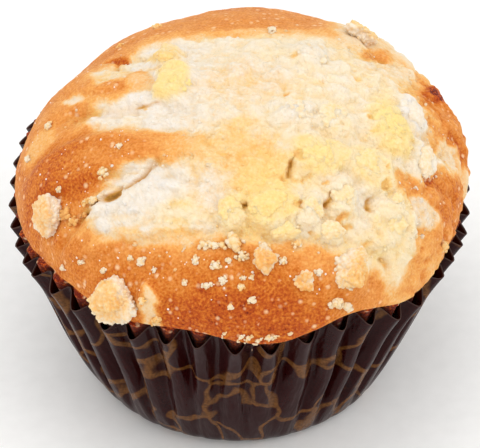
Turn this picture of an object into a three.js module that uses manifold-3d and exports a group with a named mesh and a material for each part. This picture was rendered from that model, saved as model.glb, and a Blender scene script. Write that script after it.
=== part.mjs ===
import * as THREE from "three";
import { mergeVertices } from "three/addons/utils/BufferGeometryUtils.js";
import Module from "manifold-3d";

// A crumb-topped muffin in a fluted paper case, standing on its flat floor.
// Millimetres, +Z up, the origin at the middle of the case's underside.
// An azimuth is in degrees from the front, -Y, and grows towards +X.

const wasm = await Module();
wasm.setup();

// ---- Driving dimensions of the paper case ----

const flutes = 51;
const fluteTurn = -0.9; // azimuth of the first outer fold
const widePitch = 8.5; // degrees from fold to fold at the front
const wideFolds = 7; // on each side of the first fold; the others share the rest of the way round
const outerHalfWidth = 0.1; // of a flute's pitch, on each side of an outer fold
const innerHalfWidth = 0.18;
const caseHeight = 35.7; // mean height of the outer folds' tips
const tipRise = 1.0; // the inner folds end this much higher
const rimRadius = 40;
const floorRadius = 26.2;
const sideBulge = -0.5; // halfway up, the case's middle lies this far to +X of its rim and floor
const floorDepth = 0.5; // thickness of the case's floor
const paperDepth = 0.5; // thickness of the wall, measured towards the axis
const foldDepthAtFloor = 0.4;
const foldDepthAtRim = 3.0;
// Height up the wall as a share of its height, and the outer folds' radius there.
const wallProfile = [
  [0, floorRadius],
  [0.034, 27.2],
  [0.17, 29.4],
  [0.45, 32.9],
  [0.75, 36.3],
  [1, rimRadius],
];
// Waves of the rim: number round the case, height, azimuth of a crest.
const rimWaves = [
  [1, 0.58, 157],
  [3, 1.36, 1],
  [5, 0.61, 29],
  [9, 0.77, -18],
  [10, 0.63, -7],
];
// Where the rim is pulled out of round: azimuth, radius added, half width in degrees.
const rimBulges = [[-116, 0.7, 14]];

// ---- Driving dimensions of the cake ----

const gap = 0.35; // between the cake, the paper and the lumps on it
const topHeight = 58.8;
const topShift = 0.8; // the dome's centre lies this far to +X
const topTilt = 0.028; // the dome rises this much for each millimetre to +X
const skirtRadius = 39.0; // widest part of the dome
const skirtRise = 2.1; // from the tips of the inner folds to the widest part
const domeRoundness = 2.26; // exponent of the dome's profile, outwards
const domeFullness = 1.94; // exponent of the dome's profile, upwards
const skirtReach = 0.9; // share of the dome's grid above its widest part
const domeCells = 40; // along each side of the dome's grid
const coreHeight = 24; // relief stands out from a point on the axis this high
const cakeFloorRise = floorDepth + gap;
// Where the skirt departs from round: azimuth, radius added, half width in degrees.
const skirtBulges = [
  [111, -0.6, 11],
  [75, -1.0, 14],
  [162, 0.8, 12],
  [-168, 0.9, 14],
  [-122, -2.2, 20],
  [-88, 0.6, 14],
  [-57, -0.6, 12],
  [8, 1.6, 18],
];
// Raised ground on the dome: x, y, half width, half depth, turn in degrees, height.
const swells = [
  [9, -7, 25, 24, 0, 1.3],
  [-15, -1, 15, 5, -8, 0.6],
  [-14, -23.5, 13, 5, -14, 1.7],
  [-25, -10.5, 13, 5, -8, 1.3],
  [-23, 7, 9, 4, -25, 1.0],
  [30, -20.8, 4.5, 5, 20, 0.9],
  [22, 2, 4, 3, 0, 0.9],
  [36, -7.5, 3, 3, 0, 0.9],
  [-14.7, -35.2, 2.5, 4, 15, 1.2],
  [-25, -24, 7, 2.5, -30, 0.7],
];
// Tears and pits in the crust: from x, y to x, y, half width, depth.
const tears = [
  [-30, 1, -17.5, -2.5, 1.8, 1.0],
  [-17.5, -2.5, -8, -6, 1.6, 0.7],
  [-28.5, -21.5, -25, -20.5, 1.3, 1.2],
  [-23.2, -20.2, -19.5, -19.8, 1.8, 2.8],
  [-19.3, -20.2, -14.8, -19.8, 1.7, 1.7],
  [-16.6, -17.5, -14, -16.6, 1.5, 1.4],
  [-22.9, 16.6, -21, 12, 1.2, 1.3],
  [32.1, 8.4, 34.8, 6.3, 2.0, 1.6],
  [8.6, -17.1, 8.6, -20.7, 1.2, 1.0],
  [12.7, -22.1, 15, -20.4, 1.2, 1.2],
  [19.6, -19.8, 20.1, -23.9, 1.2, 1.6],
  [23.3, -29.2, 23.7, -28.8, 1.2, 1.4],
  [0.6, -25.3, 1.1, -25, 1.2, 1.0],
  [22.8, 18.3, 25.2, 14.4, 1.5, 1.2],
];
const crumbleHeight = 0.7; // of the uneven pale crumb
const crumbleSize = 4.5;

// ---- Driving dimensions of the streusel ----

// Lumps: x, y, width, depth, thickness, turn in degrees.
const lumps = [
  [-19.8, -32.3, 8.6, 7.8, 5.2, 10],
  [-30.9, -16.5, 6.4, 7.4, 4.6, 20],
  [17.6, -32.6, 7.6, 6.8, 4.6, -10],
  [-10.5, 1.6, 5.8, 8.8, 3.3, 8],
  [-12.6, 10.4, 4.2, 5.8, 2.6, 0],
  [5.3, -25.9, 8.1, 6.2, 3.5, 5],
  [7.3, -29.3, 4.9, 3.4, 2.9, 0],
  [-1.2, -26.4, 4.7, 5.8, 2.9, 10],
  [13.3, -16.2, 9.1, 6.4, 3.5, -8],
  [16.4, -22.9, 4.9, 6.0, 3.0, 0],
  [11.5, -26.1, 3.6, 5.2, 2.9, 0],
  [24.5, -23.6, 6.0, 10.6, 3.5, -20],
  [24.1, -7.4, 6.7, 9.8, 3.5, 6],
  [21.0, -16.2, 8.0, 7.0, 3.3, 0],
  [28.3, -1.9, 5.3, 6.6, 3.0, 10],
  [30.2, -10.1, 4.6, 6.0, 3.0, 0],
  [9.7, -7.9, 6.0, 6.4, 2.7, 0],
  [15.3, -8.2, 5.3, 6.8, 3.0, 12],
  [14.4, -28.6, 4.7, 3.5, 2.9, 0],
  [21.1, 19.9, 6.0, 4.8, 2.6, 30],
  [4.2, -33.1, 4.2, 4.4, 3.4, 0],
  [10.3, -35.4, 3.5, 3.8, 3.0, 0],
  [12.2, 8.0, 5.3, 6.0, 2.4, 0],
];
const lumpSink = 0.14; // of its thickness that a lump's middle stands above the dome
const lumpBoxiness = 0.82; // exponent that squares a lump's sides
const lumpRoughness = 0.3;
const largeLump = 7; // width from which a lump gets finer facets

// The largest of the small crumbs, fused to the crust: x, y, width across, depth up the slope.
const crumbs = [
  [-0.9, -30.9, 3.9, 3.0],
  [-22.0, -14.9, 1.9, 3.0],
  [-27.5, -20.1, 2.4, 1.7],
  [0.4, -32.9, 2.1, 1.6],
  [-5.8, -30.9, 2.0, 1.7],
  [-3.8, -33.9, 1.8, 1.6],
  [-7.0, -32.8, 1.3, 1.8],
  [-5.2, -36.0, 1.6, 1.3],
  [-15.7, -30.7, 1.6, 1.8],
  [-29.1, -24.0, 1.7, 1.2],
  [-32.5, 1.4, 1.8, 1.5],
  [2.0, -37.9, 1.4, 1.6],
  [15.5, -36.4, 2.2, 2.6],
  [17.2, -35.9, 2.4, 2.0],
  [34.2, -19.1, 2.4, 2.2],
];

const cakeMaterial = new THREE.MeshStandardMaterial({ color: 0xdb9350, roughness: 0.8, metalness: 0 });
const streuselMaterial = new THREE.MeshStandardMaterial({ color: 0xfbe0a8, roughness: 0.85, metalness: 0 });
const paperMaterial = new THREE.MeshStandardMaterial({ color: 0x35211c, roughness: 0.35, metalness: 0 });

// ---- Small helpers ----

const radians = THREE.MathUtils.degToRad;
const { lerp, smoothstep } = THREE.MathUtils;

// The point at an azimuth, a radius and a height.
function around(azimuth, radius, height) {
  const turn = radians(azimuth);
  return new THREE.Vector3(radius * Math.sin(turn), -radius * Math.cos(turn), height);
}

function azimuthOf(x, y) {
  return THREE.MathUtils.radToDeg(Math.atan2(x, -y));
}

// A fixed number from 0 to 1 for each corner of a lattice.
function latticeValue(i, j, k) {
  let n = Math.imul(i, 374761393) + Math.imul(j, 668265263) + Math.imul(k, 1274126177);
  n = Math.imul(n ^ (n >>> 13), 1103515245);
  return ((n ^ (n >>> 16)) >>> 0) / 4294967296;
}

// Smooth noise from -1 to 1, one unit from lump to lump.
function noise(x, y, z) {
  const [i, j, k] = [x, y, z].map(Math.floor);
  const [a, b, c] = [x - i, y - j, z - k].map((t) => t * t * (3 - 2 * t));
  const edge = (dj, dk) => lerp(latticeValue(i, j + dj, k + dk), latticeValue(i + 1, j + dj, k + dk), a);
  return 2 * lerp(lerp(edge(0, 0), edge(1, 0), b), lerp(edge(0, 1), edge(1, 1), b), c) - 1;
}

// A closed surface gathered ring by ring. Rings run anticlockwise seen from above.
class Skin {
  points = [];
  faces = [];

  add(point) {
    return this.points.push(point) - 1;
  }

  ring(points) {
    return points.map((point) => this.add(point));
  }

  // Quads from one ring to the next, which lies above it or, on a rim, inside it.
  band(ring, next) {
    ring.forEach((a, i) => {
      const after = (i + 1) % ring.length;
      this.faces.push([a, ring[after], next[after]], [a, next[after], next[i]]);
    });
  }

  // Triangles from a middle point to a ring, facing down or up.
  fan(centre, ring, facesUp) {
    ring.forEach((a, i) => {
      const b = ring[(i + 1) % ring.length];
      this.faces.push(facesUp ? [centre, a, b] : [centre, b, a]);
    });
  }

  solid() {
    const vertProperties = new Float32Array(this.points.flatMap((point) => point.toArray()));
    const triVerts = new Uint32Array(this.faces.flat());
    return new wasm.Manifold(new wasm.Mesh({ numProp: 3, vertProperties, triVerts }));
  }
}

// The largest body of a solid, as the geometry of a mesh.
function geometryOf(solid) {
  const bodies = solid.decompose().sort((a, b) => b.volume() - a.volume());
  const mesh = bodies[0].getMesh();
  const geometry = new THREE.BufferGeometry();
  geometry.setAttribute("position", new THREE.BufferAttribute(mesh.vertProperties, 3));
  geometry.setIndex(new THREE.BufferAttribute(mesh.triVerts, 1));
  geometry.computeVertexNormals();
  return geometry;
}

// ---- The paper case ----

// Height of the outer folds' tips.
function rimHeight(azimuth) {
  const wave = ([count, height, crest]) => height * Math.cos(count * radians(azimuth - crest));
  return caseHeight + rimWaves.map(wave).reduce((sum, part) => sum + part);
}

// Azimuth of an outer fold. The pleats are wider at the front, and a little uneven.
function foldAzimuth(fold) {
  const k = fold < flutes / 2 ? fold : fold - flutes;
  const wide = THREE.MathUtils.clamp(k, -wideFolds, wideFolds);
  const narrowPitch = (180 - wideFolds * widePitch) / (flutes / 2 - wideFolds);
  const uneven = 0.45 * Math.cos(1.08 * k - 2.59) + 0.45 * Math.cos(2.88 * k - 1.05);
  return fluteTurn + wide * widePitch + (k - wide) * narrowPitch + uneven;
}

// Radius of the outer folds a share of the way up the wall.
function wallRadius(share) {
  const above = Math.max(1, wallProfile.findIndex(([level]) => level >= share));
  const [[fromLevel, from], [toLevel, to]] = [wallProfile[above - 1], wallProfile[above]];
  return lerp(from, to, (share - fromLevel) / (toLevel - fromLevel));
}

// How far the wall's middle lies off the axis at a share of its height.
function lean(share) {
  return new THREE.Vector3(sideBulge * Math.sin(Math.PI * Math.sqrt(share)), 0, 0);
}

function foldDepth(share) {
  return lerp(foldDepthAtFloor, foldDepthAtRim, share ** 0.8);
}

// The sum of a list of bulges at an azimuth.
function bulgeAt(azimuth, bulges) {
  const bell = ([middle, added, half]) => {
    const away = ((azimuth - middle + 540) % 360) - 180;
    return added * Math.exp(-((away / half) ** 2));
  };
  return bulges.map(bell).reduce((sum, part) => sum + part);
}

// The points round the wall at one level: each flute has two on its outer fold and two on its inner one.
function wallRing(share, inwards) {
  const ring = [];
  for (let fold = 0; fold < flutes; fold++) {
    const [here, next] = [foldAzimuth(fold), foldAzimuth((fold + 1) % flutes)];
    const pitch = (next - here + 360) % 360;
    const corners = [outerHalfWidth, 0.5 - innerHalfWidth, 0.5 + innerHalfWidth, 1 - outerHalfWidth];
    corners.forEach((corner, i) => {
      const isInner = i === 1 || i === 2;
      const azimuth = here + pitch * corner;
      const pulled = bulgeAt(azimuth, rimBulges) * share ** 2;
      const radius = wallRadius(share) + pulled - (isInner ? foldDepth(share) : 0) - inwards;
      const rise = isInner ? tipRise : 0;
      ring.push(around(azimuth, radius, share * (rimHeight(azimuth) + rise)).add(lean(share)));
    });
  }
  return ring;
}

function paperCase() {
  const skin = new Skin();
  const levels = wallProfile.map(([share]) => share);
  const outside = levels.map((share) => skin.ring(wallRing(share, 0)));
  const insideFloor = wallRing(levels[1], paperDepth).map((point) => point.setZ(floorDepth));
  const inside = [
    ...levels.slice(1).reverse().map((share) => skin.ring(wallRing(share, paperDepth))),
    skin.ring(insideFloor.map((point) => point.multiply(new THREE.Vector3(0.98, 0.98, 1)))),
  ];
  skin.fan(skin.add(new THREE.Vector3()), outside[0], false);
  const rings = [...outside, ...inside];
  rings.slice(1).forEach((ring, i) => skin.band(rings[i], ring));
  skin.fan(skin.add(new THREE.Vector3(0, 0, floorDepth)), rings.at(-1), true);
  return skin.solid();
}

// ---- The cake ----

// Height of the inner folds' tips, which the dome hangs over.
function tipHeight(azimuth) {
  return rimHeight(azimuth) + tipRise;
}

// Radius that stays clear of the inner folds at a share of the wall's height.
function cakeRadius(share) {
  return wallRadius(share) - foldDepth(share) - paperDepth - gap;
}

function skirtRadiusAt(azimuth) {
  return skirtRadius + bulgeAt(azimuth, skirtBulges);
}

// Height of the smooth dome over a point, from its skirt up to its top.
function domeHeight(x, y) {
  const azimuth = azimuthOf(x - topShift, y);
  const out = Math.min(1, Math.hypot(x - topShift, y) / skirtRadiusAt(azimuth));
  const skirt = tipHeight(azimuth) + skirtRise;
  const rise = (1 - out ** domeRoundness) ** (1 / domeFullness);
  return skirt + (topHeight - skirt + topTilt * x) * rise;
}

// The direction in which relief stands out at a point of the dome.
function outwards(point) {
  return point.clone().sub(new THREE.Vector3(topShift, 0, coreHeight)).normalize();
}

// How far x, y lies inside an ellipse, from 0 at its edge to 1 well inside.
function within(x, y, [middleX, middleY, halfWidth, halfDepth, turn]) {
  const [c, s] = [Math.cos(radians(turn)), Math.sin(radians(turn))];
  const along = ((x - middleX) * c + (y - middleY) * s) / halfWidth;
  const across = ((y - middleY) * c - (x - middleX) * s) / halfDepth;
  return 1 - smoothstep(Math.hypot(along, across), 0.65, 1.1);
}

// How deep x, y lies in a tear, as a share of its depth.
function tearAt(x, y, [fromX, fromY, toX, toY, halfWidth]) {
  const [dx, dy] = [toX - fromX, toY - fromY];
  const along = THREE.MathUtils.clamp(((x - fromX) * dx + (y - fromY) * dy) / (dx * dx + dy * dy), 0, 1);
  const away = Math.hypot(x - fromX - along * dx, y - fromY - along * dy);
  return 1 - smoothstep(away, 0, halfWidth * 1.6);
}

// Height of the relief over the smooth dome.
function relief(x, y) {
  const raised = swells.map((swell) => within(x, y, swell) * swell[5]);
  const sunk = tears.map((tear) => tearAt(x, y, tear) * tear[5]);
  const crumble = crumbleHeight * within(x, y, swells[0]) * noise(x / crumbleSize, y / crumbleSize, 0.5);
  return Math.max(...raised) + crumble - Math.max(...sunk);
}

// A point of the dome, from the middle of a unit disc to its edge, which is the neck inside the paper.
function domePoint(u, v, grown) {
  const reach = Math.hypot(u, v);
  const azimuth = reach > 0 ? azimuthOf(u, v) : 0;
  const widest = skirtRadiusAt(azimuth);
  if (reach > skirtReach) {
    const curl = (reach - skirtReach) / (1 - skirtReach);
    const radius = lerp(widest, cakeRadius(1), curl ** 1.5);
    const height = tipHeight(azimuth) + skirtRise - (skirtRise - gap) * curl ** 0.8;
    const point = around(azimuth, radius, height);
    point.x += topShift * (1 - curl);
    return point.addScaledVector(outwards(point), grown);
  }
  const slant = (1 - reach / skirtReach) * (Math.PI / 2);
  const point = around(azimuth, widest * Math.cos(slant) ** (2 / domeRoundness), 0);
  point.x += topShift;
  point.z = domeHeight(point.x, point.y);
  const raised = relief(point.x, point.y) * smoothstep(slant, 0, 0.35);
  return point.addScaledVector(outwards(point), raised + grown);
}

// The unit square wrapped onto the unit disc, ring for ring.
function squareToDisc(s, t) {
  if (s === 0 && t === 0) return [0, 0];
  const acrossFirst = Math.abs(s) >= Math.abs(t);
  const reach = acrossFirst ? s : t;
  const turn = acrossFirst ? (Math.PI / 4) * (t / s) : Math.PI / 2 - (Math.PI / 4) * (s / t);
  return [reach * Math.cos(turn), reach * Math.sin(turn)];
}

// The whole cake, grown by a margin: its floor, its side inside the paper, its neck and its dome.
function cake(grown) {
  const skin = new Skin();
  const grid = [];
  for (let i = 0; i <= domeCells; i++) {
    grid.push([]);
    for (let j = 0; j <= domeCells; j++) {
      const [u, v] = squareToDisc((2 * i) / domeCells - 1, (2 * j) / domeCells - 1);
      grid[i].push(skin.add(domePoint(u, v, grown)));
    }
  }
  for (let i = 0; i < domeCells; i++) {
    for (let j = 0; j < domeCells; j++) {
      const [a, b, c, d] = [grid[i][j], grid[i + 1][j], grid[i + 1][j + 1], grid[i][j + 1]];
      skin.faces.push([a, b, c], [a, c, d]);
    }
  }
  const last = domeCells;
  const steps = [...Array(domeCells).keys()];
  const neck = [
    ...steps.map((k) => grid[last][k]),
    ...steps.map((k) => grid[last - k][last]),
    ...steps.map((k) => grid[0][last - k]),
    ...steps.map((k) => grid[k][0]),
  ];
  const side = [0, 0.17, 0.75].map((share) => {
    const radius = cakeRadius(share) - (share === 0 ? 0.4 : 0.2);
    const level = (azimuth) => Math.max(cakeFloorRise, share * rimHeight(azimuth));
    return skin.ring(
      neck.map((index) => {
        const azimuth = azimuthOf(skin.points[index].x, skin.points[index].y);
        return around(azimuth, radius, level(azimuth)).add(lean(share));
      }),
    );
  });
  skin.fan(skin.add(new THREE.Vector3(0, 0, cakeFloorRise)), side[0], false);
  [...side, neck].slice(1).forEach((ring, i) => skin.band([...side, neck][i], ring));
  return skin.solid();
}

// ---- Streusel ----

// A crumbly ball, squared and roughened, as a solid. Each axis is a half size.
function crumbly(detail, half, seed) {
  const ball = new THREE.IcosahedronGeometry(1, detail);
  ball.deleteAttribute("normal");
  ball.deleteAttribute("uv");
  const geometry = mergeVertices(ball);
  const place = geometry.getAttribute("position");
  for (let i = 0; i < place.count; i++) {
    const point = new THREE.Vector3().fromBufferAttribute(place, i);
    const shifted = point.clone().multiplyScalar(1.3).add(new THREE.Vector3(7.3 * seed, -3.1 * seed, 0));
    const rough = 1 + lumpRoughness * noise(...shifted.toArray());
    const square = (value) => Math.sign(value) * Math.abs(value) ** lumpBoxiness;
    place.setXYZ(i, ...[point.x, point.y, point.z].map((value, axis) => square(value) * rough * half[axis]));
  }
  return geometry;
}

// The solid of a geometry stood on the dome at x, y, raised by a distance along the outward direction.
function onDome(geometry, x, y, turn, raised) {
  const base = new THREE.Vector3(x, y, domeHeight(x, y));
  const up = outwards(base);
  base.addScaledVector(up, relief(x, y) + raised);
  const across = new THREE.Vector3(1, 0, 0).addScaledVector(up, -up.x).normalize();
  const placed = new THREE.Matrix4().makeBasis(across, up.clone().cross(across), up);
  const turned = new THREE.Matrix4().makeRotationZ(radians(turn));
  const geometryPlaced = geometry.clone().applyMatrix4(placed.multiply(turned).setPosition(base));
  const vertProperties = new Float32Array(geometryPlaced.getAttribute("position").array);
  const triVerts = new Uint32Array(geometryPlaced.index.array);
  return new wasm.Manifold(new wasm.Mesh({ numProp: 3, vertProperties, triVerts }));
}

function lumpSolid([x, y, width, depth, thickness, turn], seed, grown) {
  const half = [width / 2 + grown, depth / 2 + grown, thickness / 2 + grown];
  return onDome(crumbly(width > largeLump ? 2 : 1, half, seed), x, y, turn, lumpSink * thickness);
}

function crumbSolid([x, y, width, depth], seed) {
  const thickness = Math.min(width, depth);
  const half = [width / 2, depth / 2, thickness / 2];
  return onDome(crumbly(0, half, seed), x, y, 0, lumpSink * thickness);
}

// ---- The muffin, put together ----

const muffin = new THREE.Group();

function addPiece(name, solid, material) {
  const mesh = new THREE.Mesh(geometryOf(solid), material);
  mesh.name = name;
  muffin.add(mesh);
}

addPiece("paper_case", paperCase(), paperMaterial);

const crumbedCake = crumbs.reduce((joined, crumb, i) => joined.add(crumbSolid(crumb, i)), cake(0));
addPiece("muffin", crumbedCake, cakeMaterial);

const clearance = cake(gap);
const taken = [];
lumps.forEach((lump, i) => {
  const seated = lumpSolid(lump, i, 0).subtract(clearance);
  const free = taken.reduce((rest, other) => rest.subtract(other), seated);
  addPiece("streusel_lump_" + String(i + 1).padStart(2, "0"), free, streuselMaterial);
  taken.push(lumpSolid(lump, i, gap));
});

export default muffin;
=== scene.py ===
import functools
import math

import bpy
import numpy as np
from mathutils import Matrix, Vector


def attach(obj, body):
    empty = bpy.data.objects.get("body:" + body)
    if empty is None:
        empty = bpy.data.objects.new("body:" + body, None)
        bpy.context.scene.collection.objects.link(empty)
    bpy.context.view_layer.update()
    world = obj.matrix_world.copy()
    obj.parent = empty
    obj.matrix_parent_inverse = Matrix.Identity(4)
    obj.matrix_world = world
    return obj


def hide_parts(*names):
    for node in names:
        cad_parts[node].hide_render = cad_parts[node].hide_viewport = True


# A crumb-topped muffin in its fluted paper case. Shapes are worked out in millimetres, with the
# front at -Y and an azimuth in degrees from the front towards +X, and go into Blender in metres.
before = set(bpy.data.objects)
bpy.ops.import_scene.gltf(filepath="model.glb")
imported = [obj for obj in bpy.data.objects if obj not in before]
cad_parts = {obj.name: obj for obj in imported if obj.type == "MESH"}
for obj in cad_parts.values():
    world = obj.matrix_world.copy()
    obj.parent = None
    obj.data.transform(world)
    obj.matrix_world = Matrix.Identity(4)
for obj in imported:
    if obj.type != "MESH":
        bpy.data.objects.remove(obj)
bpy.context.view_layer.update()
toMetres = 0.001
print("frame loaded,", len(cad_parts), "nodes")


def latticeValue(cell):
    # a fixed value from 0 to 1 for each whole-numbered corner: its numbers times primes, mixed in 32 bits
    mask = 0xFFFFFFFF
    mixed = (cell[:, 0] * 374761393 + cell[:, 1] * 668265263 + cell[:, 2] * 1274126177) & mask
    mixed = ((mixed ^ (mixed >> 13)) * 1103515245) & mask
    return (mixed ^ (mixed >> 16)) / mask


def noise(points):
    # smooth noise from -1 to 1, one unit from lump to lump: a blend of the values at the eight corners round
    cell = np.floor(points).astype(np.int64)
    share = points - cell
    share = share * share * (3 - 2 * share)
    total = np.zeros(len(points))
    for corner in range(8):
        step = np.array([corner & 1, corner >> 1 & 1, corner >> 2 & 1])
        total += np.prod(np.where(step == 1, share, 1 - share), axis=1) * latticeValue(cell + step)
    return 2 * total - 1


def layeredNoise(points, size, layers, start=0.0):
    # noise of that size in mm plus finer layers, each half as large and as strong as the one before
    shares = 0.5 ** np.arange(layers)
    parts = [w * noise(points / (size * w) + 17.3 * i + start) for i, w in enumerate(shares)]
    return sum(parts) / shares.sum()


def pebbles(points, size, start=0.0):
    # 1 amid a grain and 0 where grains meet: the distances to the two nearest of points strewn one to a cube
    scaled = points / size + start
    cell = np.floor(scaled).astype(np.int64)
    nearest = np.full(len(points), 9.0)
    second = np.full(len(points), 9.0)
    for corner in range(27):
        around = cell + np.array([corner % 3, corner // 3 % 3, corner // 9]) - 1
        strewn = np.stack([latticeValue(around + shift) for shift in (0, 71, 143)], axis=1)
        away = np.linalg.norm(around + strewn - scaled, axis=1)
        second = np.minimum(second, np.maximum(nearest, away))
        nearest = np.minimum(nearest, away)
    return np.clip((second - nearest) * 1.6, 0, 1)


def smoothStep(value, low, high):
    share = np.clip((value - low) / (high - low), 0, 1)
    return share * share * (3 - 2 * share)


def blend(a, b, share):
    return a + (b - a) * share


def aroundAxis(azimuth, radius, height):
    turn = np.radians(azimuth)
    return np.stack(np.broadcast_arrays(radius * np.sin(turn), -radius * np.cos(turn), height), axis=-1)


def azimuthOf(x, y):
    return np.degrees(np.arctan2(x, -y))


def unit(vectors):
    return vectors / np.linalg.norm(vectors, axis=-1, keepdims=True)


def squareGrid(cells):
    # two coordinates from -1 to 1 for each point of a square grid, row by row
    steps = np.linspace(-1, 1, cells + 1)
    return [side.ravel() for side in np.meshgrid(steps, steps, indexing="ij")]


def gridFaces(rows, columns, closed=False):
    # quads of a grid of points stored row by row; a closed grid joins its last column to its first
    wide = columns if closed else columns - 1
    i, j = np.meshgrid(np.arange(rows - 1), np.arange(wide), indexing="ij")
    a, b = i * columns + j, i * columns + (j + 1) % columns
    return np.stack([a, b, b + columns, a + columns], axis=-1).reshape(-1, 4)


def makePiece(name, points, faceSets, material, values=(), smooth=True):
    # one mesh from points in mm and arrays of corner numbers, with a value at each point under each name
    mesh = bpy.data.meshes.new(name)
    mesh.vertices.add(len(points))
    mesh.vertices.foreach_set("co", (points * toMetres).astype(np.float32).ravel())
    corners = np.concatenate([faces.ravel() for faces in faceSets]).astype(np.int32)
    sides = np.concatenate([np.full(len(faces), faces.shape[1]) for faces in faceSets])
    mesh.loops.add(len(corners))
    mesh.loops.foreach_set("vertex_index", corners)
    mesh.polygons.add(len(sides))
    mesh.polygons.foreach_set("loop_start", np.concatenate([[0], np.cumsum(sides)[:-1]]).astype(np.int32))
    mesh.update(calc_edges=True)
    mesh.polygons.foreach_set("use_smooth", np.full(len(sides), smooth))
    for key, value in dict(values).items():
        kind, field = ("FLOAT", "value") if value.ndim == 1 else ("FLOAT_VECTOR", "vector")
        mesh.attributes.new(key, kind, "POINT").data.foreach_set(field, value.astype(np.float32).ravel())
    mesh.materials.append(material)
    piece = bpy.data.objects.new(name, mesh)
    bpy.context.scene.collection.objects.link(piece)
    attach(piece, "root")
    triangles = int((sides - 2).sum())
    print(name, "made,", triangles, "triangles")
    return piece


def tone(code):
    # an sRGB hex value as linear red, green, blue and alpha
    shares = [int(code[i : i + 2], 16) / 255 for i in (1, 3, 5)]
    return [s / 12.92 if s <= 0.04045 else ((s + 0.055) / 1.055) ** 2.4 for s in shares] + [1.0]


def feed(node, inputs):
    # each input takes a value, a socket, or a node's first working output
    for key, value in inputs.items():
        if isinstance(value, bpy.types.Node):
            value = next(socket for socket in value.outputs if socket.enabled)
        if isinstance(value, bpy.types.NodeSocket):
            node.id_data.links.new(value, node.inputs[key])
        else:
            node.inputs[key].default_value = value


def addNode(tree, kind, inputs=None, settings=None, stops=()):
    # a shader node, what feeds it, its settings, and its ramp's places and colours in rising order
    made = tree.nodes.new("ShaderNode" + kind)
    for key, value in (settings or {}).items():
        setattr(made, key, value)
    feed(made, inputs or {})
    for i, (place, colour) in enumerate(stops):
        element = made.color_ramp.elements[i] if i < 2 else made.color_ramp.elements.new(place)
        element.position, element.color = place, tone(colour)
    return made


def newMaterial(name):
    # a material, its one shader, each point's place on the piece in metres, and addNode for this material
    material = bpy.data.materials.new(name)
    material.use_nodes = True
    material.node_tree.nodes.clear()
    add = functools.partial(addNode, material.node_tree)
    shader = add("BsdfPrincipled")
    add("OutputMaterial", {"Surface": shader})
    return material, shader, add("TexCoord").outputs["Object"], add


def perMetre(size):
    # scale of a texture whose features are that many mm across
    return 1000 / size


# settings that several nodes share
multiplyAdd = {"operation": "MULTIPLY_ADD"}
cappedMultiply = {"operation": "MULTIPLY", "use_clamp": True}
ofColours = {"data_type": "RGBA"}

# camera, light and floor

studio = {
    "aim": (0.12, 0, 27.95),
    "distance": 450,
    "elevation": 42,
    "lens": 192.4,
    "sensorWidth": 36,
    "worldStrength": 0.88,
    # soft boxes: name, place, width, power in watts
    "softBoxes": [
        ("keyLight", (-140, 0, 560), 460, 0.87),
        ("fillLight", (380, -160, 420), 420, 0.75),
        ("frontLight", (-380, -430, 230), 300, 0.42),
    ],
    "lightAim": (0, 0, 35),
    "floorTone": "#f7f6f4",
    "floorReach": 3.0,  # in metres, on each side
    "floorDrop": 0.05,  # below the case's floor
}

scene = bpy.context.scene
scene.view_settings.view_transform = "Standard"

cameraData = bpy.data.cameras.new("camera")
cameraData.lens = studio["lens"]
cameraData.sensor_width = studio["sensorWidth"]
camera = bpy.data.objects.new("camera", cameraData)
scene.collection.objects.link(camera)
scene.camera = camera
rise = math.radians(studio["elevation"])
backwards = Vector((0, -math.cos(rise), math.sin(rise)))
camera.location = (Vector(studio["aim"]) + backwards * studio["distance"]) * toMetres
camera.rotation_euler = (-backwards).to_track_quat("-Z", "Y").to_euler()

world = bpy.data.worlds.new("studio")
scene.world = world
world.use_nodes = True
sky = {"Color": (1, 1, 1, 1), "Strength": studio["worldStrength"]}
feed(world.node_tree.nodes["Background"], sky)

for name, place, width, power in studio["softBoxes"]:
    lightData = bpy.data.lights.new(name, "AREA")
    lightData.size = width * toMetres
    lightData.energy = power
    light = bpy.data.objects.new(name, lightData)
    light.location = Vector(place) * toMetres
    towards = Vector(studio["lightAim"]) - Vector(place)
    light.rotation_euler = towards.to_track_quat("-Z", "Y").to_euler()
    scene.collection.objects.link(light)


def studioFloorMaterial():
    # matt white paper backdrop: a bare pale ground with a hardly visible fibre
    material, shader, place, add = newMaterial("paperBackdrop")
    fibre = add("TexNoise", {"Vector": place, "Scale": perMetre(3), "Detail": 4.0})
    tones = [(0.3, studio["floorTone"]), (0.7, "#fbfaf8")]
    colour = add("ValToRGB", {"Fac": fibre}, stops=tones)
    feed(shader, {"Base Color": colour, "Roughness": 0.9})
    return material


floorMesh = bpy.data.meshes.new("floor")
far = studio["floorReach"]
floorMesh.from_pydata([(-far, -far, 0), (far, -far, 0), (far, far, 0), (-far, far, 0)], [], [(0, 1, 2, 3)])
floorMesh.materials.append(studioFloorMaterial())
floor = bpy.data.objects.new("floor", floorMesh)
floor.location.z = -studio["floorDrop"] * toMetres
scene.collection.objects.link(floor)
print("studio ready")

# the paper case

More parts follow.
